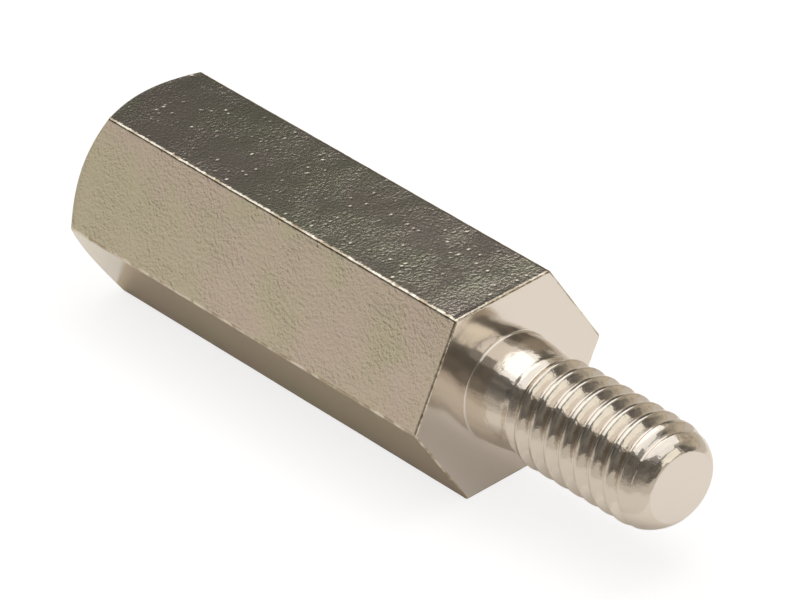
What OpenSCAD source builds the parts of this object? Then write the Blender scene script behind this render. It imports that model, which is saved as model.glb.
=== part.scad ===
// Hexagon standoff, male to female: a threaded stud turned on one end of a hexagon bar,
// and a blind tapped hole in the other. One turned piece of nickel-plated brass.
//
// It lies on one of its six flats, as it comes to rest on a bench. The axis is X, the
// stud points along +X, Z is up, and the origin is on the axis in the shoulder face, which
// is the plane that a board or panel seats on.
//
// The screw threads are drawn as plain cylinders: the stud at its major diameter and the
// hole at its tapping diameter, which are the sizes that the mating parts are fitted to.

/* [Hexagon body] */
// Width of the bar across two opposite flats
across_flats = 7; // [5.5:0.5:12]
// Length of the body from the rear face to the shoulder
body_l = 18; // [16:0.5:60]
// How far inside the flats the rear chamfer starts
chamfer_inset = 0.075; // [0:0.025:0.4]
// Angle between the rear chamfer and the rear face
chamfer_angle = 40; // [20:1:50]

/* [Tapped hole] */
// Diameter of the hole before tapping
tap_drill_d = 3.3; // [2.5:0.05:4.1]
// Depth of the hole's full diameter, measured from the rear face
hole_depth = 12; // [6:0.5:14]
// Diameter of the countersink at the mouth
countersink_d = 4.4; // [4.2:0.1:5]
// Included angle of the countersink
countersink_angle = 90; // [82:1:120]
// Included angle of the drill point at the bottom
drill_point_angle = 118; // [90:1:140]

/* [Threaded stud] */
// Major diameter of the thread
thread_d = 3.86; // [2.8:0.02:5]
// Length of the stud from the shoulder to the tip
stud_l = 8.2; // [4:0.1:20]
// Radius of the fillet between the shoulder and the stud
root_fillet = 0.1; // [0.02:0.02:0.3]
// Length of the rounded end of the stud
tip_l = 1; // [0.2:0.05:1]
// Radius of the rounding on the end of the stud
tip_r = 1.12; // [1.05:0.01:1.35]

/* [Hidden] */

// segments in a full circle
$fn = 96;
// overshoot of a cutting shape past the face it cuts
over = 1;

// the bar across its corners
corner_r = across_flats / 2 / cos(30);
// the rear chamfer: the circle where it meets the rear face, and a radius clear of the bar
chamfer_r = across_flats / 2 - chamfer_inset;
turned_r = corner_r + over;
// the hole: its radius, and the depths of its two cones
drill_r = tap_drill_d / 2;
mouth_r = countersink_d / 2;
countersink_depth = (mouth_r - drill_r) / tan(countersink_angle / 2);
point_depth = drill_r / tan(drill_point_angle / 2);
// the stud: its radius, and where its plain side ends and the rounded tip starts
thread_r = thread_d / 2;
tip_start = stud_l - tip_l;
// the hollow of the fillet, a little over its radius so that it crosses both faces cleanly
hollow_r = root_fillet * 1.02;

// Turns a shape that was drawn upwards along +Z so that it runs along +X.
module along_x() {
    rotate([0, 90, 0]) children();
}

// The hexagon bar from the rear face to the shoulder, with a flat at the top and bottom.
module hexagon_bar() {
    translate([0, 0, -body_l])
        rotate([0, 0, 30])
            cylinder(r = corner_r, h = body_l, $fn = 6);
}

// The round shape that the lathe turns at the rear end: a cone that opens past the corners
// of the bar. Where it meets the six flats it leaves the curved edges of a turned hexagon.
module turned_envelope() {
    translate([0, 0, -body_l])
        rotate_extrude()
            polygon([
                [0, 0],
                [chamfer_r, 0],
                [turned_r, (turned_r - chamfer_r) * tan(chamfer_angle)],
                [turned_r, body_l + over],
                [0, body_l + over]
            ]);
}

// The blind hole: straight wall, drill point at its bottom and countersink at its mouth.
module drilled_hole() {
    translate([0, 0, -body_l - over])
        cylinder(r = drill_r, h = hole_depth + over);
    translate([0, 0, hole_depth - body_l])
        cylinder(r1 = drill_r, r2 = 0, h = point_depth);
    translate([0, 0, -body_l])
        cylinder(r1 = mouth_r, r2 = drill_r, h = countersink_depth);
}

// The corner that the fillet fills, between the shoulder and the side of the stud.
module fillet_section() {
    difference() {
        translate([0, -over]) square([thread_r + root_fillet, over + root_fillet]);
        translate([thread_r + root_fillet, root_fillet]) circle(r = hollow_r);
    }
}

// Half of the stud's section, with the radius along x and the length along y: the plain
// side, and the rounded tip around its flat end.
module stud_section() {
    intersection() {
        translate([0, -over]) square([thread_r, over + stud_l]);
        union() {
            translate([0, -over]) square([thread_r, over + tip_start]);
            translate([thread_r - tip_r, tip_start]) circle(r = tip_r);
            square([thread_r - tip_r, stud_l]);
        }
    }
    fillet_section();
}

// The whole piece, as it is turned from the bar.
module standoff() {
    color([0.8, 0.77, 0.71])
        along_x()
            union() {
                difference() {
                    intersection() {
                        hexagon_bar();
                        turned_envelope();
                    }
                    drilled_hole();
                }
                rotate_extrude() stud_section();
            }
}

standoff();
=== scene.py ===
# %% [markdown]
# # A hexagon standoff in nickel-plated brass
# A standoff holds a circuit board or a panel a fixed height above its base. This one is male to
# female: a threaded stud at one end of a hexagon bar and a blind tapped hole in the other. It is a
# single turned piece, so here it is a single closed mesh, laid over the CAD solid of the same size.
# The looks of such a small bright part come from three things: the way its edges are broken, the
# thread, and what the plating mirrors. The cells below take them in that order.

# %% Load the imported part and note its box
import math

import bpy
import numpy as np
from mathutils import Matrix, Vector


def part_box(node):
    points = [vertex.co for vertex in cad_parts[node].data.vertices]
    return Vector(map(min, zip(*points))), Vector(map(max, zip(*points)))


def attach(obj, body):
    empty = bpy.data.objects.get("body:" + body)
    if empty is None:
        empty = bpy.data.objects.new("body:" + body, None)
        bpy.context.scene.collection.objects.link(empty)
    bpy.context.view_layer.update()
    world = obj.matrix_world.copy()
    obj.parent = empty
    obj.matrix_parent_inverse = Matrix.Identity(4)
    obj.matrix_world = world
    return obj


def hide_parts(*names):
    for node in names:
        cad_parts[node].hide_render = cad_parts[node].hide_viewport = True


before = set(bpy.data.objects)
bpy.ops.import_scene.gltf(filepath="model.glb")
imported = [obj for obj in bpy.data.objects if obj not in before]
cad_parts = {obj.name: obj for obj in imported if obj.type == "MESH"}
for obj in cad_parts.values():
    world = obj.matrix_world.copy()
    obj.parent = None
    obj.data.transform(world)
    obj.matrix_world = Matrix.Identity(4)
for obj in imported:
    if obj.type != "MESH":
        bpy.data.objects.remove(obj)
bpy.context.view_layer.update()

MM = 0.001

# %% [markdown]
# ## Sizes
# The bar, the stud and the hole have the sizes of the CAD part to a hundredth of a millimetre. The
# axis is X, the stud points to +X, Z is up and the shoulder face is at x = 0. What CAD leaves out is
# added: the thread, and the small radii that tumbling and plating leave on every edge.

# %% Sizes of the part
ACROSS_FLATS = 7.0
BODY_LENGTH = 18.0
STUD_RADIUS = 1.92
STUD_LENGTH = 8.2
BORE_RADIUS = 1.65
MOUTH_RADIUS = 2.2
BORE_DEPTH = 12.0
PITCH = 0.7

low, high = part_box("standoff")
print("length of the CAD solid:", round((high.x - low.x) / MM, 3))

# %% [markdown]
# ## Columns round the axis
# A six-sided prism and a few cylinders, joined and cut by the Boolean modifier, could make the bar,
# its chamfer and its hole. But such cuts leave long thin faces, and a mirror finish shows each of
# them as a crease. So the whole skin is a stack of rings, and every ring has the same columns: that
# way neighbouring rings are joined by plain rows of quads. The columns are bunched at the six corners
# of the bar: seven lie on the small radius of a corner, one guards it on each side, and the rest are
# spread over the flat. The same columns, seen as angles, serve the round stud and the round hole.

# %% Columns of the skin
CORNER_RADIUS = 0.14
CORNER_STEPS = 7
FLAT_STEPS = 11
GUARD = 0.035


def bar_outline(inset):
    """Points round the bar, drawn in by inset, with its six corners rounded."""
    inner = (ACROSS_FLATS / 2 - CORNER_RADIUS) / math.cos(math.radians(30))
    radius = CORNER_RADIUS - inset
    corners = []
    for k in range(6):
        turn = math.radians(60 * k)
        centre = inner * np.array([math.cos(turn), math.sin(turn)])
        swing = turn + np.radians(np.linspace(-30, 30, CORNER_STEPS))
        corners.append(centre + radius * np.stack([np.cos(swing), np.sin(swing)], 1))
    points = []
    for k in range(6):
        start, end = corners[k][-1], corners[(k + 1) % 6][0]
        guard = GUARD / np.linalg.norm(end - start)
        between = np.linspace(guard, 1 - guard, FLAT_STEPS + 2)
        points.extend(corners[k])
        points.extend(start + share * (end - start) for share in between)
    return np.array(points)


outline = bar_outline(0.0)
COLUMNS = len(outline)
PER_FLAT = COLUMNS // 6
angle = np.unwrap(np.arctan2(outline[:, 1], outline[:, 0]))
reach = np.hypot(outline[:, 0], outline[:, 1])
print("columns:", COLUMNS, " across corners:", round(2 * reach.max(), 3))

# %% [markdown]
# ## Sewing the skin
# Rings are added one after another, and each is sewn to the ring before it. The finish of a face
# (drawn, turned, threaded, bored or burnished) is noted as it is made, to pick its material later.

# %% Rings, and the quads between them
skin_points, skin_faces, skin_finishes = [], [], []
corner_columns = {k * PER_FLAT + step for k in range(6) for step in range(CORNER_STEPS - 1)}


def add_points(points):
    """Adds points to the skin and returns their numbers."""
    first = len(skin_points)
    skin_points.extend(np.atleast_2d(points))
    return list(range(first, len(skin_points)))


def add_face(corners, finish):
    """Adds one face, and notes its finish."""
    skin_faces.append(corners)
    skin_finishes.append(finish)


def sew(ring, following, finish):
    """Joins two rings; between drawn rings the long edges are burnished."""
    for c in range(COLUMNS):
        n = (c + 1) % COLUMNS
        worn = finish == "drawn" and c in corner_columns
        add_face((ring[c], ring[n], following[n], following[c]), "burnished" if worn else finish)


def add_rings(shapes, finish, ring=None):
    """Adds rings in order, sewn to each other and to the ring before; returns the last one."""
    for points in shapes:
        following = add_points(points)
        if ring is not None:
            sew(ring, following, finish)
        ring = following
    return ring


def round_ring(x, radius):
    """A ring of the turned shape: x and radius are one number each, or one for each column."""
    x = np.broadcast_to(x, COLUMNS)
    radius = np.broadcast_to(radius, COLUMNS)
    return np.stack([x, radius * np.cos(angle), radius * np.sin(angle)], 1)


print("columns of faces on the six long edges:", len(corner_columns))

# %% [markdown]
# A screw thread climbs by one pitch in each turn. The Screw modifier could sweep its profile round
# the axis, but this thread has to rise from a plain neck, fade out on the nose and stay sewn to both.
# Flat rings would cut across its crest at a very small angle and make it look chewed, so the rows of
# a threaded wall climb with it: each row keeps its place on the profile all the way round, and after
# one turn it runs into the row one pitch on.
# At both ends the wall meets a flat ring, where rows start and stop one by one. Zipping each pair of
# neighbouring columns together takes care of that: equal rows give a quad, a new row a triangle. A
# point that would come too near an end ring is left out, so that no face is a sliver.

# %% The strip between two columns of a threaded wall
def zip_columns(left, right, finish):
    """Fills the strip between two columns, each a list of (row, point) in the same order."""
    i = j = 0
    while i + 1 < len(left) or j + 1 < len(right):
        next_left = left[i + 1][0] if i + 1 < len(left) else math.inf
        next_right = right[j + 1][0] if j + 1 < len(right) else math.inf
        corners = [left[i][1], right[j][1]]
        if next_right <= next_left:
            j += 1
            corners.append(right[j][1])
        if next_left <= next_right:
            i += 1
            corners.append(left[i][1])
        add_face(tuple(corners), finish)


print("strips round a threaded wall:", COLUMNS)

# %% Walls whose rows climb with the thread
NEAREST_TO_END = 0.004


def add_threaded_wall(ring, start, end, crest_at, rows, place, finish):
    """Adds a wall from the ring at x = start to a new ring at x = end, and returns that ring.

    crest_at is where column 0 meets a crest, rows are the places of the rows in one pitch, and
    place(x, column) gives the point of the wall.
    """
    way = 1 if end > start else -1
    per_turn = len(rows)
    last_ring = add_points([place(end, c) for c in range(COLUMNS)])
    columns = []
    for c in range(COLUMNS):
        column = [(-math.inf, ring[c])]
        crest = crest_at + PITCH * (angle[c] - angle[0]) / (2 * math.pi)
        first = math.floor(way * (start - crest) / PITCH) * per_turn
        for row in range(first, first + math.ceil(abs(end - start) / PITCH + 2) * per_turn):
            x = crest + way * PITCH * (row // per_turn + rows[row % per_turn])
            if NEAREST_TO_END < way * (x - start) < abs(end - start) - NEAREST_TO_END:
                column.append((row, add_points(place(x, c))[0]))
        column.append((math.inf, last_ring[c]))
        columns.append(column)
    for c in range(COLUMNS - 1):
        zip_columns(columns[c], columns[c + 1], finish)
    one_turn = way * per_turn
    after_turn = [(row - one_turn, point) for row, point in columns[0]]
    zip_columns(columns[-1], after_turn, finish)
    return last_ring


print("the thread climbs by", round(PITCH / COLUMNS, 5), "mm from column to column on average")

# %% [markdown]
# Three more helpers shape the surfaces. One rounds the corner where two surfaces meet, one eases from
# one value to another, and a smooth noise, made of a few fixed waves, gives the slight unevenness of
# drawn bar. Its seed is fixed, so the same part comes out every time.

# %% Blends and a steady noise
def smooth_least(a, b, blend):
    """The lesser of a and b, with the corner between them rounded."""
    gap = np.maximum(blend - np.abs(a - b), 0.0) / blend
    return np.minimum(a, b) - gap * gap * blend / 4


def ease(value, start, end):
    """Rises smoothly from 0 at start to 1 at end."""
    t = np.clip((value - start) / (end - start), 0, 1)
    return t * t * (3 - 2 * t)


def waves(seed, length, count=24):
    """A smooth noise of about -1 to 1 in three directions, with waves near this length."""
    dice = np.random.default_rng(seed)
    heading = dice.normal(size=(count, 3))
    heading /= np.linalg.norm(heading, axis=1)[:, None]
    number = 2 * math.pi / length * dice.uniform(0.6, 1.6, count)
    phase = dice.uniform(0, 2 * math.pi, count)

    def value(points):
        """The noise at these points."""
        return np.sin(points @ (heading * number[:, None]).T + phase).sum(1) / math.sqrt(count)

    return value


print("the lesser of 1 and 1, rounded over 0.2:", float(smooth_least(1.0, 1.0, 0.2)))

# %% [markdown]
# ## Thread form
# The thread is metric, 4 mm across with a pitch of 0.7 mm. Its height over one pitch is a crest, a
# straight flank, a root and the other flank. Tumbling and plating leave it shallower than a sharp
# thread, with a crest wider than its root and every corner rounded. The same form serves the stud
# and the hole. The rows of the skin are closest together where the profile bends.

# %% Height of the thread, and its rows
CREST_FLAT = 0.20
ROOT_FLAT = 0.10
ROUNDING = 0.14
HALF_ROWS = (0.0, 0.04, 0.065, 0.09, 0.11, 0.14, 0.22, 0.32, 0.40, 0.43, 0.455, 0.48)
THREAD_ROWS = (*HALF_ROWS, 0.5, *(1 - share for share in HALF_ROWS[:0:-1]))


def thread_height(turns):
    """Height of the thread, 1 at its crest and 0 at its root, where a whole number is a crest."""
    wave = np.abs(2 * (turns % 1.0) - 1)
    height = (wave - ROOT_FLAT) / (1 - ROOT_FLAT - CREST_FLAT)
    height = smooth_least(height, 1.0, ROUNDING)
    return -smooth_least(-height, 0.0, ROUNDING)


print("rows in one pitch:", len(THREAD_ROWS), " height at the crest:", float(thread_height(0.0)))

# %% [markdown]
# ## The tapped hole
# The hole is drilled 12 mm deep with a 118 degree point and tapped from the mouth. Tapping cuts the
# thread outwards into the wall, so the drilled radius stays as the crest of the thread. A tap can't
# reach the bottom: the last turns fade out and a plain stretch of drilled wall is left.

# %% The drilled bottom
DRILL_POINT = 118
DRILL_SLOPE = math.tan(math.radians(DRILL_POINT / 2))
TAP_DEPTH = 10.0
PLAIN_PAST_TAP = 0.7
BOTTOM_BEVEL = 0.02
mouth = -BODY_LENGTH
bore_end = mouth + BORE_DEPTH
drill_tip = bore_end + BORE_RADIUS / DRILL_SLOPE
wall_start = mouth + TAP_DEPTH + PLAIN_PAST_TAP

drill_point = add_points([drill_tip, 0, 0])[0]
cone = [round_ring(drill_tip - radius / DRILL_SLOPE, radius)
        for radius in (0.25, 0.7, 1.15, 1.5, BORE_RADIUS - BOTTOM_BEVEL)]
plain = [round_ring(x, BORE_RADIUS) for x in np.linspace(bore_end - BOTTOM_BEVEL, wall_start, 5)]
ring = add_rings([*cone, *plain], "bored")
for c in range(COLUMNS):
    add_face((drill_point, (c + 1) % COLUMNS + 1, c + 1), "bored")
print("depth of the drill point:", round(drill_tip - mouth, 2))

# %% The tapped wall and its countersink
TAP_CUT = 0.34
FADE_BEFORE, FADE_PAST = 0.8, 0.6
MOUTH_BLEND = 0.05
MOUTH_BREAK = 0.012
COARSE_ROWS = THREAD_ROWS[::2]


def tapped_wall(x, c):
    """A point of the tapped wall at this x in column c."""
    turns = x / PITCH - (angle[c] - angle[0]) / (2 * math.pi)
    fade = 1 - ease(x, mouth + TAP_DEPTH - FADE_BEFORE, mouth + TAP_DEPTH + FADE_PAST)
    wall = BORE_RADIUS + TAP_CUT * fade * (1 - thread_height(turns))
    countersink = MOUTH_RADIUS - (x - mouth)
    radius = -smooth_least(-wall, -countersink, MOUTH_BLEND)
    return x, radius * math.cos(angle[c]), radius * math.sin(angle[c])


tap_end = mouth + MOUTH_BREAK
ring = add_threaded_wall(ring, wall_start, tap_end, 0.0, COARSE_ROWS, tapped_wall, "bored")
ring = add_rings([round_ring(mouth, MOUTH_RADIUS + MOUTH_BREAK)], "turned", ring)
print("points in the hole:", len(skin_points))

# %% [markdown]
# ## The rear face and its chamfer
# The rear face is faced off in the lathe and then chamfered with a cone. The cone cuts only the
# corners of the bar, which leaves six shallow arches where it runs out on the flats. A ring on the
# cone needs no cutting here: each column is pushed out along the cone until it reaches the bar.

# %% Rings of the rear face and the turned chamfer
CHAMFER_CIRCLE = 3.425
CHAMFER_ANGLE = 40
CHAMFER_SLOPE = math.tan(math.radians(CHAMFER_ANGLE))

face_rings = [round_ring(mouth, MOUTH_RADIUS + share * (CHAMFER_CIRCLE - MOUTH_RADIUS))
              for share in (0.03, 0.25, 0.5, 0.75, 0.97)]
cone_run = np.maximum(reach - CHAMFER_CIRCLE, 0.0)
cone_rings = [round_ring(mouth + share * cone_run * CHAMFER_SLOPE, CHAMFER_CIRCLE + share * cone_run)
              for share in (0.0, 0.08, 0.3, 0.6, 0.9, 0.985)]
chamfer_end = mouth + cone_run * CHAMFER_SLOPE
ring = add_rings([*face_rings, *cone_rings], "turned", ring)
print("chamfer runs forward to x =", round(float(chamfer_end.max()), 3))

# %% [markdown]
# ## The worn long edges
# The bar is drawn through a die, so its long edges have a radius of 0.14 mm. Knocks in the tumbling
# barrel leave small flats along them, which catch the light as a broken line, and two edges have a
# deeper nick as well. Relief in the material could darken an edge in places, but its outline would
# stay perfectly straight. So the wear is real geometry: the points that stand out past the worn line
# are pressed in to it.

# %% Knocks on the long edges
KNOCKS = 26
KNOCK_DEPTH = 0.010
SHORTEST_KNOCK, LONGEST_KNOCK = 0.05, 0.16
CLEAR_OF_CHAMFER = 0.8
NICKED_AT = {2: -3.1, 3: -1.9}
NICK_LENGTH = 0.10
NICK_DEPTH = 0.035
dice = np.random.default_rng(11)
knock_at = dice.uniform(-BODY_LENGTH + CLEAR_OF_CHAMFER, 0, (6, KNOCKS))
knock_long = dice.uniform(SHORTEST_KNOCK, LONGEST_KNOCK, (6, KNOCKS))
knock_deep = KNOCK_DEPTH * dice.uniform(0.15, 1.0, (6, KNOCKS)) ** 2
for corner, at in NICKED_AT.items():
    knock_at[corner, 0] = at
    knock_long[corner, 0] = NICK_LENGTH
    knock_deep[corner, 0] = NICK_DEPTH
print("knocks on each long edge:", KNOCKS, " deepest:", round(float(knock_deep.max()), 3))

# %% Wear between the knocks
WEAR = 0.005
WEAR_LENGTH = 0.36
FACET_SWAY = math.radians(19)
SWAY_LENGTH = 0.30
EDGE_APART = 7
edge_wear = waves(5, WEAR_LENGTH)
edge_sway = waves(6, SWAY_LENGTH)


def press_corners(points):
    """Presses in what stands past the worn line of each long edge."""
    worn = points.copy()
    for k in range(6):
        near = (np.arange(-2, CORNER_STEPS + 2) + k * PER_FLAT) % COLUMNS
        x = points[near, 0]
        along = np.stack([x, np.full_like(x, EDGE_APART * k), np.zeros_like(x)], 1)
        turn = math.radians(60 * k) + FACET_SWAY * edge_sway(along)
        out = np.stack([np.cos(turn), np.sin(turn)], 1)
        top = reach.max() - WEAR * (1 + edge_wear(along))
        for at, long, deep in zip(knock_at[k], knock_long[k], knock_deep[k]):
            top = top - deep * np.exp(-((x - at) / long) ** 2)
        past = np.maximum((points[near, 1:] * out).sum(1) - top, 0)
        worn[near, 1:] = points[near, 1:] - past[:, None] * out
    return worn


print("a long edge is worn back by about", WEAR, "mm")

# %% [markdown]
# ## The six flats
# The rings along the flats run from the arches of the chamfer to the broken rim at the shoulder. A
# swell of a few thousandths, made by two noises of different length, keeps the flats from mirroring
# like glass. Both are lowered, so that the flats stay inside the size across flats.

# %% Rings along the flats
BODY_ROWS = 236
EDGE_BREAK = 0.07
SWELL = 0.0022
RIPPLE = 0.0007
LOWERED = 1.6
uneven = waves(3, 4.5)
ripple = waves(4, 1.1)
outward = outline / reach[:, None]


def bar_ring(share):
    """A ring of the bar, at this share of the way from the chamfer to the rim."""
    x = chamfer_end + share * (-EDGE_BREAK - chamfer_end)
    points = np.concatenate([x[:, None], outline], 1)
    swell = SWELL * (uneven(points) - LOWERED) + RIPPLE * (ripple(points) - LOWERED)
    fade = ease(share, 0.0, 0.01) * (1 - ease(share, 0.99, 1.0))
    points[:, 1:] += outward * (swell * fade)[:, None]
    return press_corners(points)


shares = [0.0, 0.0018, *np.linspace(0.006, 0.994, BODY_ROWS), 0.998, 1.0]
ring = add_rings([bar_ring(shares[0])], "turned", ring)
ring = add_rings([bar_ring(share) for share in shares[1:]], "drawn", ring)
print("points up to the rim:", len(skin_points))

# %% [markdown]
# ## The rim and the shoulder
# The shoulder is faced square to the axis, and its rim is broken by a few hundredths. A small fillet
# leads into the neck, which is as thick as the crests of the thread once their corners are rounded.

# %% Rings of the broken rim, the shoulder and the fillet
TIP_BLEND = 0.05
NECK_RADIUS = STUD_RADIUS - TIP_BLEND / 4
ROOT_FILLET = 0.06
RIM_STEPS = 4
FILLET_STEPS = 5


def rim_ring(step):
    """A ring of the broken rim, from the flats round to the shoulder."""
    bend = math.radians(90 * step / RIM_STEPS)
    inset = EDGE_BREAK * (1 - math.cos(bend))
    points = np.concatenate([np.zeros((COLUMNS, 1)), bar_outline(inset)], 1)
    points[:, 0] = -EDGE_BREAK * (1 - math.sin(bend))
    return press_corners(points)


def fillet_ring(step):
    """A ring of the fillet between the shoulder and the stud."""
    bend = math.radians(90 * step / FILLET_STEPS)
    return round_ring(ROOT_FILLET * (1 - math.cos(bend)),
                      NECK_RADIUS + ROOT_FILLET * (1 - math.sin(bend)))


ring = add_rings([rim_ring(step) for step in range(1, RIM_STEPS + 1)], "burnished", ring)
rim, inner_rim = rim_ring(RIM_STEPS), fillet_ring(0)
shoulder = [rim + share * (inner_rim - rim)
            for share in (0.015, 0.15, 0.3, 0.45, 0.6, 0.75, 0.9, 0.985)]
fillet = [fillet_ring(step) for step in range(FILLET_STEPS + 1)]
ring = add_rings([*shoulder, *fillet], "turned", ring)
print("points up to the neck:", len(skin_points))

# %% [markdown]
# ## The neck, the thread and the rounded tip
# The die that cuts the thread can't reach the shoulder, so a short plain neck is left there. It
# tapers gently to a waist, and the thread rises to its full height in the turn that follows. A die
# also throws metal up on the tip side of each crest, so the crests slope a little. The tip is turned
# to a blunt nose with a flat end, a little out of square, and the last groove fades out on it.

# %% Sizes of the neck, the thread and the tip
NECK_START = 0.16
NECK_END = 0.40
NECK_BLEND = 0.2
WAIST_AT = 1.55
WAIST_DEPTH = 0.17
WAIST_HOLD = 0.2
WAIST_BLEND = 0.1
THREAD_STARTS = WAIST_AT + 0.05
THREAD_FULL = 2.45
THREAD_DEPTH = 0.33
CREST_AT = 1.645
CREST_SLOPE = 0.14
CREST_FACING = math.radians(133.55)
TIP_START = 6.7
TIP_RUN = 1.49
TIP_DROP = 0.90
TIP_LEAN = 0.06
LOW_SIDE = math.radians(223.55)
LEAN_START, LEAN_END = 6.6, 8.0
FADE_START, FADE_END = 7.35, 7.85
GROOVE_FADE = 0.8
END_SET_BACK = 0.07
stud_end = STUD_LENGTH - END_SET_BACK
crest_at = CREST_AT + PITCH * (angle[0] - CREST_FACING) / (2 * math.pi)
print("the flat end is at x =", round(stud_end, 3), " a crest passes column 0 at", round(crest_at, 3))


# %% The nose and its lean
def tip_radius(x):
    """Radius of the blunt nose at the end of the stud."""
    past = np.clip((x - TIP_START) / TIP_RUN, 0, 1)
    return STUD_RADIUS - TIP_DROP + TIP_DROP * math.sqrt(1 - past**2)


def leaning(x, radius, c):
    """The point at this x and radius in column c, moved by the lean of the tip."""
    lean = TIP_LEAN * ease(x, LEAN_START, LEAN_END) * radius * math.cos(angle[c] - LOW_SIDE)
    return x - lean, radius * math.cos(angle[c]), radius * math.sin(angle[c])


print("radius of the flat end:", round(tip_radius(stud_end), 3))


# %% The wall of the stud
def stud_wall(x, c):
    """A point of the neck, the thread or the nose at this x in column c."""
    turns = (x - crest_at) / PITCH - (angle[c] - angle[0]) / (2 * math.pi)
    taper = min((x - NECK_END) / (WAIST_AT - NECK_END), 1)
    taper = -smooth_least(-taper, 0.0, NECK_BLEND)
    waist = smooth_least(taper, 1 - ease(x, WAIST_AT + WAIST_HOLD, THREAD_FULL), WAIST_BLEND)
    height = thread_height(turns)
    fade = 1 - GROOVE_FADE * ease(x, FADE_START, FADE_END)
    cut = THREAD_DEPTH * ease(x, THREAD_STARTS, THREAD_FULL) * fade * (1 - height)
    beside_crest = ((turns + 0.5) % 1 - 0.5) * PITCH
    burr = CREST_SLOPE * beside_crest * height**4 * ease(x, WAIST_AT, THREAD_FULL)
    radius = smooth_least(STUD_RADIUS - WAIST_DEPTH * waist - cut + burr, tip_radius(x), TIP_BLEND)
    return leaning(x, radius, c)


in_waist = np.hypot(*stud_wall(WAIST_AT, 0)[1:])
print("radius in the waist:", round(float(in_waist), 3))

# %% Rows of the stud and its flat end
ring = add_rings([round_ring(NECK_START, NECK_RADIUS)], "threaded", ring)
ring = add_threaded_wall(ring, NECK_START, stud_end, crest_at, THREAD_ROWS, stud_wall, "threaded")
flat_end = tip_radius(stud_end)
end_rings = [[leaning(stud_end, radius, c) for c in range(COLUMNS)]
             for radius in (flat_end - 0.02, flat_end - 0.06, 0.9, 0.5, 0.2)]
ring = add_rings(end_rings, "turned", ring)
end_point = add_points([stud_end, 0, 0])[0]
for c in range(COLUMNS):
    add_face((ring[c], ring[(c + 1) % COLUMNS], end_point), "turned")
print("points in all:", len(skin_points))

# %% [markdown]
# ## The mesh
# The points and faces become one mesh. A solid has no open edges, so every edge must have exactly
# two faces, and a volume above zero shows that the faces look outwards.

# %% Build the mesh and test it
import bmesh

FINISH_ORDER = ("drawn", "turned", "threaded", "bored", "burnished")
mesh = bpy.data.meshes.new("hexagon_standoff")
mesh.from_pydata([[float(v) * MM for v in point] for point in skin_points], [], skin_faces)
mesh.polygons.foreach_set("material_index", [FINISH_ORDER.index(name) for name in skin_finishes])
mesh.polygons.foreach_set("use_smooth", [True] * len(skin_faces))
mesh.update()
standoff = bpy.data.objects.new("plated_standoff", mesh)
bpy.context.scene.collection.objects.link(standoff)

check = bmesh.new()
check.from_mesh(mesh)
open_edges = sum(1 for edge in check.edges if len(edge.link_faces) != 2)
volume = check.calc_volume(signed=True) / MM**3
triangles = sum(len(face.verts) - 2 for face in check.faces)
check.free()
print("open edges:", open_edges, " volume mm3:", round(volume, 1), " triangles:", triangles)

# %% [markdown]
# ## Nickel
# Bright nickel is a warm, slightly yellow mirror. Its colour is its reflection at normal incidence,
# set as the base colour of a fully metallic surface. Five finishes differ in how rough they are and
# in the marks they carry, and each has its own short function. The marks could be pictures wrapped
# round the piece, but those need unwrapping and turn soft close up, so they are noises made by nodes.
# The finishes share a few helpers. The first ones start a metallic material, and add and link nodes.

# %% Starting a finish
NICKEL = (0.76, 0.69, 0.605)


def new_finish(name, roughness, colour=NICKEL):
    """A metallic node material of this roughness and colour."""
    material = bpy.data.materials.new(name)
    material.use_nodes = True
    tree = material.node_tree
    shader = tree.nodes["Principled BSDF"]
    shader.inputs["Metallic"].default_value = 1.0
    shader.inputs["Base Color"].default_value = (*colour, 1)
    shader.inputs["Roughness"].default_value = roughness
    return material, tree, shader


def node(tree, kind, **settings):
    """Adds a node and sets its options and sockets by name."""
    made = tree.nodes.new(kind)
    for key, value in settings.items():
        if hasattr(made, key):
            setattr(made, key, value)
        else:
            made.inputs[key.replace("_", " ")].default_value = value
    return made


def link(tree, start, end):
    """Joins an output to an input."""
    tree.links.new(start, end)


print("nickel mirrors", [round(100 * part) for part in NICKEL], "per cent of red, green and blue")

# %% [markdown]
# The next helpers make the patterns: places on the piece in millimetres, so that every pattern has a
# real size, a noise, a change of range, a blend of two colours, plain arithmetic, and relief.

# %% Patterns measured in millimetres
def millimetres(tree):
    """Places on the piece in millimetres."""
    place = node(tree, "ShaderNodeTexCoord")
    in_mm = node(tree, "ShaderNodeMapping", Scale=(1 / MM, 1 / MM, 1 / MM))
    link(tree, place.outputs["Object"], in_mm.inputs["Vector"])
    return in_mm.outputs["Vector"]


def coordinate(tree, place, axis):
    """One coordinate of a place."""
    split = node(tree, "ShaderNodeSeparateXYZ")
    link(tree, place, split.inputs["Vector"])
    return split.outputs[axis]


def noise(tree, place, scale, detail):
    """A noise of 0 to 1 with this many waves in a millimetre."""
    made = node(tree, "ShaderNodeTexNoise", Scale=scale, Detail=detail, Roughness=0.6)
    link(tree, place, made.inputs["Vector"])
    return made.outputs["Fac"]


def reach_between(tree, value, low_end, high_end, to_low=0.0, to_high=1.0):
    """Stretches the values between two ends to another range, and holds the rest."""
    made = node(tree, "ShaderNodeMapRange")
    for socket, number in zip(made.inputs[1:5], (low_end, high_end, to_low, to_high)):
        socket.default_value = number
    link(tree, value, made.inputs["Value"])
    return made.outputs["Result"]


def two_tones(tree, value, low_end, low_colour, high_end, high_colour):
    """Blends from one colour to another as the value goes from the low end to the high end."""
    ramp = node(tree, "ShaderNodeValToRGB")
    first, second = ramp.color_ramp.elements
    first.position, second.position = low_end, high_end
    first.color, second.color = (*low_colour, 1), (*high_colour, 1)
    link(tree, value, ramp.inputs["Fac"])
    return ramp.outputs["Color"]


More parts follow.
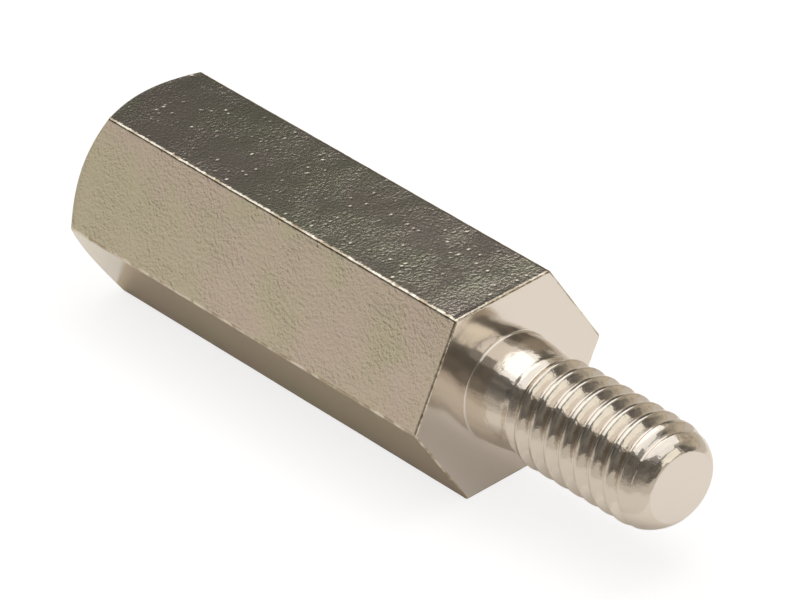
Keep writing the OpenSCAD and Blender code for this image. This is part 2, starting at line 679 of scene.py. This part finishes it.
print("a noise of scale 1 has waves of about", MM, "m")

# %% Arithmetic and relief
def combine(tree, operation, first, second):
    """Joins two values by arithmetic; the second may be a plain number."""
    made = node(tree, "ShaderNodeMath", operation=operation)
    link(tree, first, made.inputs[0])
    if isinstance(second, float):
        made.inputs[1].default_value = second
    else:
        link(tree, second, made.inputs[1])
    return made.outputs["Value"]


def press_relief(tree, shader, height, depth_mm):
    """Turns a height of 0 to 1 into dents of this depth."""
    bump = node(tree, "ShaderNodeBump", Strength=1.0, Distance=depth_mm * MM)
    link(tree, height, bump.inputs["Height"])
    link(tree, bump.outputs["Normal"], shader.inputs["Normal"])


print("one millimetre in the scene:", MM, "m")

# %% [markdown]
# The drawn flats are the part of the bar that no tool has touched, so they keep the skin of the bar:
# an orange peel of little more than a tenth of a millimetre, rougher in some patches than in others,
# and scattered pits, most of them on the flat that lay uppermost. The plating over it is a little
# pink in places and a little green in others. The peel and the pits are a few thousandths deep and
# far too small to be seen as shapes, so they are relief in the material.

# %% Finish of the drawn flats
PINKISH, GREENISH = (0.76, 0.66, 0.57), (0.715, 0.68, 0.52)
TINTS_PER_MM = 0.28
PITS_PER_MM = 3.6
PIT_RADIUS = 0.33
CELLS_WITHOUT_PIT = 0.50
UPPER_FLAT_FROM, UPPER_FLAT_TO = 3.2, 3.4
PITS_ELSEWHERE = 0.2
PEEL_PER_MM = 8.0
PATCHES_PER_MM = 0.6
SMOOTHEST, ROUGHEST = 0.5, 1.05
RELIEF_DEPTH = 0.009


def pits(tree, place):
    """Scattered round pits, each 0 at its rim and up to 1 in its middle, most on the upper flat."""
    cells = node(tree, "ShaderNodeTexVoronoi", Scale=PITS_PER_MM, Randomness=1.0)
    link(tree, place, cells.inputs["Vector"])
    lottery = node(tree, "ShaderNodeSeparateColor")
    link(tree, cells.outputs["Color"], lottery.inputs["Color"])
    drawn_lot = reach_between(tree, lottery.outputs["Red"], CELLS_WITHOUT_PIT, 1.0)
    pit = reach_between(tree, cells.outputs["Distance"], 0.0, PIT_RADIUS, 1.0, 0.0)
    pit = combine(tree, "MULTIPLY", pit, drawn_lot)
    height = coordinate(tree, place, "Z")
    upper = reach_between(tree, height, UPPER_FLAT_FROM, UPPER_FLAT_TO, PITS_ELSEWHERE, 1.0)
    return combine(tree, "MULTIPLY", pit, upper)


def orange_peel(tree, place):
    """A fine grain, weaker in some patches than in others."""
    patch = noise(tree, place, PATCHES_PER_MM, 2.0)
    patch = reach_between(tree, patch, 0.40, 0.60, SMOOTHEST, ROUGHEST)
    peel = combine(tree, "SUBTRACT", noise(tree, place, PEEL_PER_MM, 2.5), 0.5)
    return combine(tree, "MULTIPLY", peel, patch)


def drawn_nickel():
    """Nickel on the drawn flats."""
    material, tree, shader = new_finish("nickel_on_drawn_flats", 0.12)
    place = millimetres(tree)
    tint = noise(tree, place, TINTS_PER_MM, 3.0)
    link(tree, two_tones(tree, tint, 0.40, PINKISH, 0.60, GREENISH), shader.inputs["Base Color"])
    height = combine(tree, "SUBTRACT", orange_peel(tree, place), pits(tree, place))
    press_relief(tree, shader, height, RELIEF_DEPTH)
    return material


print("peel of", round(1 / PEEL_PER_MM, 3), "mm, and cells for pits of", round(1 / PITS_PER_MM, 2), "mm")

# %% [markdown]
# The other four are cut or rubbed. The shoulder, the rear face and the chamfer were turned and carry
# very fine rings round the axis. The thread was cut and then tumbled, which left it bright and a
# little wavy. The hole is only as bright as the tap left it. The long edges are rubbed brightest, and
# where the knocks have worn them a darker tone of brass shows through, which breaks up their shine.

# %% Finishes of the turned faces, the thread and the hole
TURNED_TONE = (0.79, 0.735, 0.67)
RINGS_PER_MM = 9.0
RING_DEPTH = 0.0012


def turned_nickel():
    """Nickel on the turned faces, with fine rings round the axis."""
    material, tree, shader = new_finish("nickel_on_turned_faces", 0.13, TURNED_TONE)
    place = millimetres(tree)
    side = combine(tree, "POWER", coordinate(tree, place, "Y"), 2.0)
    rise = combine(tree, "POWER", coordinate(tree, place, "Z"), 2.0)
    from_axis = combine(tree, "SQRT", combine(tree, "ADD", side, rise), 0.0)
    rings = node(tree, "ShaderNodeTexNoise", noise_dimensions="1D", Scale=RINGS_PER_MM, Detail=2.0)
    link(tree, from_axis, rings.inputs["W"])
    press_relief(tree, shader, rings.outputs["Fac"], RING_DEPTH)
    return material


def threaded_nickel():
    """Nickel on the stud, a little wavy from tumbling."""
    material, tree, shader = new_finish("nickel_on_thread", 0.13)
    press_relief(tree, shader, noise(tree, millimetres(tree), 2.2, 3.0), 0.014)
    return material


def bored_nickel():
    """Nickel in the hole, plain and a little duller."""
    return new_finish("nickel_in_tapped_hole", 0.2)[0]


print("turned rings:", round(1 / RINGS_PER_MM, 3), "mm apart")

# %% Finish of the worn edges, and all five on the mesh
RUBBED_TONE, BRASS_TONE = (0.80, 0.72, 0.60), (0.46, 0.38, 0.27)
WORN_SPOTS_PER_MM = 1.6


def burnished_nickel():
    """Nickel on the long edges and the rim, worn through here and there."""
    material, tree, shader = new_finish("nickel_on_worn_edges", 0.09)
    place = millimetres(tree)
    spots = noise(tree, place, WORN_SPOTS_PER_MM, 3.0)
    tone = two_tones(tree, spots, 0.44, RUBBED_TONE, 0.58, BRASS_TONE)
    link(tree, tone, shader.inputs["Base Color"])
    press_relief(tree, shader, noise(tree, place, 3.5, 2.0), 0.02)
    return material


for make_finish in (drawn_nickel, turned_nickel, threaded_nickel, bored_nickel, burnished_nickel):
    mesh.materials.append(make_finish())
print("finishes:", [material.name for material in mesh.materials])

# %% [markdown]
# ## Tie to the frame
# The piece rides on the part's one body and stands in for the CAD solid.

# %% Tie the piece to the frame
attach(standoff, "root")
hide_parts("standoff")
print("tied to the frame:", standoff.name)

# %% [markdown]
# ## The bench
# Bright metal shows its surroundings, so the studio matters as much as the finish. The part lies on
# a small white card on a bench of duller paper. As the metal sees them, the card's glow is painted
# light and the duller bench is painted shade, a pool of light round the part. A duller strip along
# the card's near edge and a brown strip under the bar are painted shade too; the one under the bar
# keeps the card out of the lower flats. Looked at directly, all of them are white paper with the
# soft shadow of the part; the metal mirrors them with this painted light and shade.

# %% The sheet of bench, card and painted shade
CARD_LONG, CARD_WIDE = 0.044, 0.032
CARD_MIDDLE = -0.0065
# size of the sheet of painted shade under the bar
SHADE_UNDER_BAR_LONG, SHADE_UNDER_BAR_WIDE = 0.018, 0.0066
BENCH_SIZE = 0.6
CARD, BENCH, SHADE_UNDER_BAR, NEAR_SHADE_STRIP = range(4)
bench_z = -ACROSS_FLATS / 2 * MM


def bench_mesh():
    """One flat sheet in 5 by 5 cells: painted shade under the bar and at the card's near edge, card,
    bench.
    """
    outer = BENCH_SIZE / 2
    lines_x = (-outer, CARD_MIDDLE - CARD_LONG / 2, -SHADE_UNDER_BAR_LONG, 0.0, CARD_MIDDLE + CARD_LONG / 2, outer)
    lines_y = (-outer, -CARD_WIDE / 2, -SHADE_UNDER_BAR_WIDE / 2, SHADE_UNDER_BAR_WIDE / 2, CARD_WIDE / 2, outer)
    points = [(x, y, bench_z) for y in lines_y for x in lines_x]
    sheet = bpy.data.meshes.new("bench")
    sheet.from_pydata(points, [], [(6 * j + i, 6 * j + i + 1, 6 * j + i + 7, 6 * j + i + 6)
                                   for j in range(5) for i in range(5)])
    for cell in sheet.polygons:
        j, i = divmod(cell.index, 5)
        # painted shade: the cell under the bar, where the bar's own shade falls
        if i == 2 and j == 2:
            cell.material_index = SHADE_UNDER_BAR
        # painted shade: the near strip of the card is duller than the rest
        elif 1 <= i <= 3 and j == 1:
            cell.material_index = NEAR_SHADE_STRIP
        elif 1 <= i <= 3 and 2 <= j <= 3:
            cell.material_index = CARD
        else:
            cell.material_index = BENCH
    return sheet


sheet = bench_mesh()
print("cells of the sheet:", len(sheet.polygons), " height in mm:", round(bench_z / MM, 2))

# %% [markdown]
# Paper that is white to the camera and still takes a soft shadow is mostly glow, with a little matt
# grey for the shadow to darken. What the metal mirrors is plain matt paper of its own shade, with a
# little glow on the card and the strips that is painted light.

# %% Paper, card and painted shade
SHADOWED_SHADE = 0.3
GLOW_TO_CAMERA = 0.8


def paper(name, shade, painted_glow_in_mirror=0.0):
    """White to the camera, with a soft shadow; the metal sees this shade and a painted glow."""
    material = bpy.data.materials.new(name)
    material.use_nodes = True
    tree = material.node_tree
    tree.nodes.clear()

    def matt_and_glow(colour, strength):
        """Matt paper of this colour, with a white glow."""
        matt = node(tree, "ShaderNodeBsdfDiffuse", Color=(*colour, 1))
        glow = node(tree, "ShaderNodeEmission", Color=(1, 1, 1, 1), Strength=strength)
        both = node(tree, "ShaderNodeAddShader")
        link(tree, matt.outputs[0], both.inputs[0])
        link(tree, glow.outputs[0], both.inputs[1])
        return both.outputs[0]

    def choose(ray_kind, otherwise, chosen):
        """The chosen surface for this kind of ray, and the other one for the rest."""
        pick = node(tree, "ShaderNodeMixShader")
        link(tree, ray.outputs[ray_kind], pick.inputs["Fac"])
        link(tree, otherwise, pick.inputs[1])
        link(tree, chosen, pick.inputs[2])
        return pick.outputs[0]

    ray = node(tree, "ShaderNodeLightPath")
    mirrored = choose("Is Glossy Ray", matt_and_glow(shade, 0.0), matt_and_glow(shade, painted_glow_in_mirror))
    to_camera = matt_and_glow((SHADOWED_SHADE,) * 3, GLOW_TO_CAMERA)
    seen = choose("Is Camera Ray", mirrored, to_camera)
    surface = node(tree, "ShaderNodeOutputMaterial")
    link(tree, seen, surface.inputs["Surface"])
    return material


# painted light: the card glows a little in the mirror; painted shade: the duller bench round it
sheet.materials.append(paper("white_card_painted_light", (0.9, 0.865, 0.825), 0.13))
sheet.materials.append(paper("duller_bench_painted_shade", (0.75, 0.71, 0.66)))
# painted shade: a brown sheet under the bar, seen only in the metal
sheet.materials.append(paper("painted_shade_under_bar", (0.73, 0.63, 0.48), 0.08))
# painted shade: a duller strip along the card's near edge, seen only in the metal
sheet.materials.append(paper("near_card_painted_shade", (0.84, 0.80, 0.75), 0.07))
print("papers:", [material.name for material in sheet.materials])

# %% Lay the sheet under the part
bench = bpy.data.objects.new("bench", sheet)
bpy.context.scene.collection.objects.link(bench)
print("bench in m:", [round(side, 3) for side in bench.dimensions])

# %% [markdown]
# ## Soft boxes
# Bright metal shows a small lamp as a hard dot, so every lamp here is a wide panel, as in a studio.
# Three soft boxes light the part. The wide one overhead is made of three panels side by side: the
# main one, a narrow one at its rear end, and a dim one over the stud, which leaves a dark patch on
# the nose. Two smaller lamps just under it are its brighter parts, where the bulbs are: one under the
# main panel, and one under the dim panel that the neck mirrors by way of the shoulder. The second box
# stands beyond the stud and lights the flanks of the thread. The third stands low behind the bar and
# lights the rear face and its chamfer. One more lamp brightens the card and isn't mirrored by the
# part. A glow of 1 is as bright as white paper in full light.

# %% Hanging a soft box
def hang_softbox(name, centre, facing, length, width, glow, along=(1, 0, 0), tint=(1, 1, 1)):
    """Hangs a rectangular lamp of even brightness, its first side along this direction; returns it."""
    data = bpy.data.lights.new(name, "AREA")
    data.shape = "RECTANGLE"
    data.size = length
    data.size_y = width
    data.energy = glow * math.pi * length * width
    data.color = tint
    lamp = bpy.data.objects.new(name, data)
    aim = -Vector(facing).normalized()
    side = (Vector(along) - Vector(along).dot(aim) * aim).normalized()
    across = aim.cross(side)
    lamp.matrix_world = Matrix((
        (side.x, across.x, aim.x, centre[0]),
        (side.y, across.y, aim.y, centre[1]),
        (side.z, across.z, aim.z, centre[2]),
        (0, 0, 0, 1)))
    bpy.context.scene.collection.objects.link(lamp)
    print(name, "power in W:", round(data.energy, 3))
    return lamp


def towards(azimuth, elevation, distance):
    """The point at this distance from the part, azimuth counted from +X towards +Y."""
    a, e = math.radians(azimuth), math.radians(elevation)
    return Vector((math.cos(a) * math.cos(e), math.sin(a) * math.cos(e), math.sin(e))) * distance


print("25 degrees up and 1 m away:", [round(part, 2) for part in towards(0, 25, 1)])

# %% The overhead box and the lamp for the card
DOWN = (0, 0, -1)
CEILING = 0.25
UNDER_CEILING, UNDER_END = 0.245, 0.247
ABOVE_CEILING = 0.26
card_lamp = hang_softbox("card_lamp", (0.04, 0.08, ABOVE_CEILING), DOWN, 0.12, 0.12, glow=2.0)
card_lamp.visible_glossy = False
hang_softbox("overhead_softbox", (-0.06, 0.035, CEILING), DOWN, 0.38, 0.39, glow=1.05)
hang_softbox("overhead_rear_end", (-0.29, -0.05, CEILING), DOWN, 0.08, 0.22, glow=1.05)
hang_softbox("overhead_dim_end", (0.23, 0.035, CEILING), DOWN, 0.20, 0.39, glow=0.18)
hang_softbox("overhead_bulbs", (-0.13, 0.02, UNDER_CEILING), DOWN, 0.14, 0.24, glow=0.5)
hang_softbox("overhead_end_bulbs", (0.19, 0.04, UNDER_END), DOWN, 0.12, 0.20, glow=0.8)

# %% The end box and the rear box
STAND_AWAY = 0.42
IVORY = (1.0, 0.975, 0.89)
end_at = towards(14, 22, STAND_AWAY)
rear_at = towards(169, 13, STAND_AWAY)
hang_softbox("end_softbox", end_at, -end_at, 0.29, 0.25, glow=0.96, along=(-0.33, 0.94, 0), tint=IVORY)
hang_softbox("rear_softbox", rear_at, -rear_at, 0.24, 0.30, glow=0.4, along=(0.2, 0.98, 0))

# %% [markdown]
# ## Dim walls
# Round the bench the studio is dim, so faces that mirror the side go dark between the light above and
# the card below. The walls could be large planes, but they are so far off that only the direction
# counts, so they are painted on the world. Each is a ramp of brightness from the horizon up, given as
# stops of height, level and tint. A height of 0 is the horizon and 1 is straight up.

# %% A wall as a ramp of brightness
COOL = (1.0, 1.0, 0.96)
WARM = (1.0, 0.92, 0.82)
BROWN = (1.0, 0.90, 0.74)

world = bpy.data.worlds.new("studio_walls")
bpy.context.scene.world = world
world.use_nodes = True
tree = world.node_tree
tree.nodes.clear()
where = node(tree, "ShaderNodeTexCoord")
split = node(tree, "ShaderNodeSeparateXYZ")
link(tree, where.outputs["Generated"], split.inputs["Vector"])


def wall(*stops):
    """Brightness of one wall, given as stops of height, level and tint from the floor up."""
    ramp = node(tree, "ShaderNodeValToRGB")
    elements = ramp.color_ramp.elements
    for height, *_ in stops[1:-1]:
        elements.new(height)
    for element, (height, level, tint) in zip(elements, stops):
        element.position = height
        element.color = (*(level * part for part in tint), 1)
    link(tree, split.outputs["Z"], ramp.inputs["Fac"])
    return ramp.outputs["Color"]


print("the world is now", world.name)

# %% The four walls
rear_wall = wall(
    (0.0, 0.66, WARM), (0.15, 0.62, WARM), (0.19, 0.55, WARM), (0.25, 0.26, WARM),
    (0.34, 0.10, COOL), (0.48, 0.08, COOL), (0.62, 0.175, COOL), (0.75, 0.11, COOL))
near_wall = wall(
    (0.0, 0.46, WARM), (0.12, 0.34, WARM), (0.28, 0.23, WARM), (0.42, 0.16, WARM),
    (0.7, 0.15, WARM), (0.9, 0.08, COOL))
far_wall = wall(
    (0.0, 0.55, BROWN), (0.15, 0.56, BROWN), (0.40, 0.46, BROWN), (0.53, 0.44, BROWN),
    (0.66, 0.60, BROWN), (0.76, 0.12, COOL))
end_wall = wall((0.0, 0.14, WARM), (0.3, 0.16, WARM), (0.7, 0.08, COOL))
print("walls round the bench:", sum(part.bl_idname == "ShaderNodeValToRGB" for part in tree.nodes))

# %% [markdown]
# The walls aren't boxed in by corners: each one blends into the next, by the direction along X or Y.
# The far wall is brown board, the others are warm low down and cool above.

# %% Blend the walls into each other
def blend_walls(axis, start, end, first, second):
    """The first wall where this coordinate is below start, the second where it is above end."""
    share = node(tree, "ShaderNodeMapRange", interpolation_type="SMOOTHSTEP")
    share.inputs["From Min"].default_value = start
    share.inputs["From Max"].default_value = end
    link(tree, split.outputs[axis], share.inputs["Value"])
    mix = node(tree, "ShaderNodeMix", data_type="RGBA")
    link(tree, share.outputs["Result"], mix.inputs[0])
    link(tree, first, mix.inputs[6])
    link(tree, second, mix.inputs[7])
    return mix.outputs[2]


far_side = blend_walls("X", 0.35, 0.65, far_wall, end_wall)
side_walls = blend_walls("Y", -0.2, 0.2, near_wall, far_side)
rear_and_sides = blend_walls("X", -0.6, -0.25, rear_wall, side_walls)
walls = blend_walls("X", 0.55, 0.8, rear_and_sides, end_wall)
print("nodes of the walls:", len(tree.nodes))

# %% [markdown]
# A real room isn't even, so a slow noise, from 0.6 to 1.4 times the level, stands for its clutter. The
# camera sees plain white in place of the walls.

# %% Clutter, and white for the camera
DIMMEST, BRIGHTEST = 0.6, 1.4
clutter = node(tree, "ShaderNodeTexNoise", Scale=7.0, Detail=2.0)
link(tree, where.outputs["Generated"], clutter.inputs["Vector"])
uneven_level = reach_between(tree, clutter.outputs["Fac"], 0.3, 0.7, DIMMEST, BRIGHTEST)

wall_glow = node(tree, "ShaderNodeBackground")
link(tree, walls, wall_glow.inputs["Color"])
link(tree, uneven_level, wall_glow.inputs["Strength"])
white_glow = node(tree, "ShaderNodeBackground", Color=(1, 1, 1, 1))
ray = node(tree, "ShaderNodeLightPath")
pick = node(tree, "ShaderNodeMixShader")
link(tree, ray.outputs["Is Camera Ray"], pick.inputs["Fac"])
link(tree, wall_glow.outputs[0], pick.inputs[1])
link(tree, white_glow.outputs[0], pick.inputs[2])
world_out = node(tree, "ShaderNodeOutputWorld")
link(tree, pick.outputs[0], world_out.inputs["Surface"])
print("links of the world:", len(tree.links))

# %% [markdown]
# ## Camera
# The view is a long lens from above the front right: the shoulder and the stud face it, with one
# flat on top and one to the left. The frame is 787 by 600 pixels, and the values below say where
# the camera stands and where in the frame the centre of the shoulder falls.

# %% Where the camera looks from
FRAME_WIDTH, FRAME_HEIGHT = 787, 600
SENSOR_WIDTH = 36
NEAREST_SEEN = 0.01
AZIMUTH, ELEVATION, ROLL = (math.radians(turn) for turn in (50.815, 33.607, -3.743))
DISTANCE = 224.07
FOCAL = 6942.6
SHOULDER_AT = (508.56, 385.71)

back = Vector((
    math.sin(AZIMUTH) * math.cos(ELEVATION),
    -math.cos(AZIMUTH) * math.cos(ELEVATION),
    math.sin(ELEVATION)))
right = Vector((0, 0, 1)).cross(back).normalized()
up = back.cross(right)
rolled_right = math.cos(ROLL) * right + math.sin(ROLL) * up
rolled_up = -math.sin(ROLL) * right + math.cos(ROLL) * up
aside = (SHOULDER_AT[0] - FRAME_WIDTH / 2) / FOCAL * DISTANCE
above = -(SHOULDER_AT[1] - FRAME_HEIGHT / 2) / FOCAL * DISTANCE
stand = (back * DISTANCE - aside * rolled_right - above * rolled_up) * MM
print("camera stands at, in m:", [round(part, 3) for part in stand])

# %% Camera
camera_data = bpy.data.cameras.new("camera")
camera_data.sensor_width = SENSOR_WIDTH
camera_data.lens = FOCAL / FRAME_WIDTH * SENSOR_WIDTH
camera_data.clip_start = NEAREST_SEEN
camera = bpy.data.objects.new("camera", camera_data)
camera.matrix_world = Matrix((
    (rolled_right.x, rolled_up.x, back.x, stand.x),
    (rolled_right.y, rolled_up.y, back.y, stand.y),
    (rolled_right.z, rolled_up.z, back.z, stand.z),
    (0, 0, 0, 1)))
bpy.context.scene.collection.objects.link(camera)
bpy.context.scene.camera = camera
bpy.context.scene.view_settings.view_transform = "Standard"
print("lens in mm:", round(camera_data.lens, 1))
